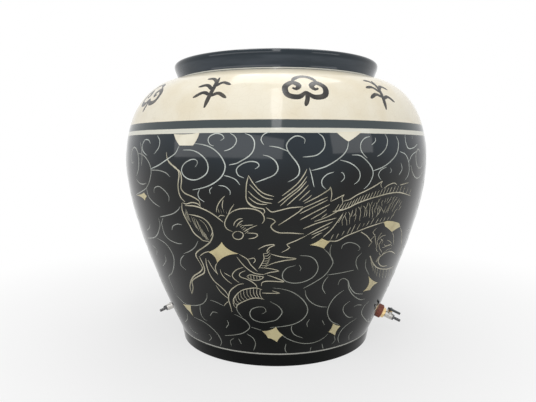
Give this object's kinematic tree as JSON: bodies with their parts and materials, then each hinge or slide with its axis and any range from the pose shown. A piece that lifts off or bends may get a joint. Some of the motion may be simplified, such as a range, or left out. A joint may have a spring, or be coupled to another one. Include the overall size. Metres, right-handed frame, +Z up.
{
  "type": "earthenware jar",
  "caption": "Large wide-bellied glazed earthenware jar with a pale shoulder and a flared collar, and lever ball cocks with barbed hose tails low on its wall.",
  "frame": {"origin": "on the jar's axis, at the sole of its foot", "axes": "+Z up along the jar's axis, -Y towards the front of the jar, the taps near +X and -X"},
  "size_m": [0.9, 0.9, 0.8246],
  "materials": {
    "glaze": "glossy dark glaze with a cream slip shoulder",
    "red_rubber": "matt moulded",
    "grey_rubber": "matt moulded",
    "brass": "turned",
    "nickel": "nickel plated",
    "steel": "turned",
    "seal_plastic": "smooth",
    "lever_plastic": "moulded"
  },
  "bodies": {
    "root": {"jar_foot": "glaze", "jar_lower_wall": "glaze", "jar_middle_wall": "glaze", "jar_belly_wall": "glaze", "jar_upper_wall": "glaze", "jar_shoulder": "glaze", "jar_collar": "glaze", "right_tap_bung": "red_rubber", "right_tap_flange_nut": "brass", "right_tap_body": "nickel", "right_tap_hose_tail": "nickel", "right_tap_inner_seat": "seal_plastic", "right_tap_outer_seat": "seal_plastic", "right_tap_packing": "seal_plastic", "right_tap_gland_nut": "brass", "right_tap_inner_washer": "grey_rubber", "right_tap_lock_nut": "brass", "left_tap_seat_washer": "grey_rubber", "left_tap_body": "nickel", "left_tap_hose_tail": "nickel", "left_tap_inner_seat": "seal_plastic", "left_tap_outer_seat": "seal_plastic", "left_tap_packing": "seal_plastic", "left_tap_gland_nut": "brass", "left_tap_inner_washer": "grey_rubber", "left_tap_lock_nut": "brass"},
    "right_tap_valve": {"right_tap_ball": "nickel", "right_tap_stem": "steel", "right_tap_lever": "lever_plastic", "right_tap_lever_nut": "steel"},
    "left_tap_valve": {"left_tap_ball": "nickel", "left_tap_stem": "steel", "left_tap_lever": "lever_plastic", "left_tap_lever_nut": "steel"}
  },
  "joints": [
    {"name": "right_tap_lever_turn", "type": "hinge", "parent": "root", "child": "right_tap_valve", "pos_m": [0.3467, -0.07369, 0.06926], "axis": [-0.3989, 0.0848, -0.913], "range_deg": [0, 90]},
    {"name": "left_tap_lever_turn", "type": "hinge", "parent": "root", "child": "left_tap_valve", "pos_m": [-0.33236, -0.02324, 0.07876], "axis": [0.0698, -0.9976, 0], "range_deg": [0, 90]}
  ]
}
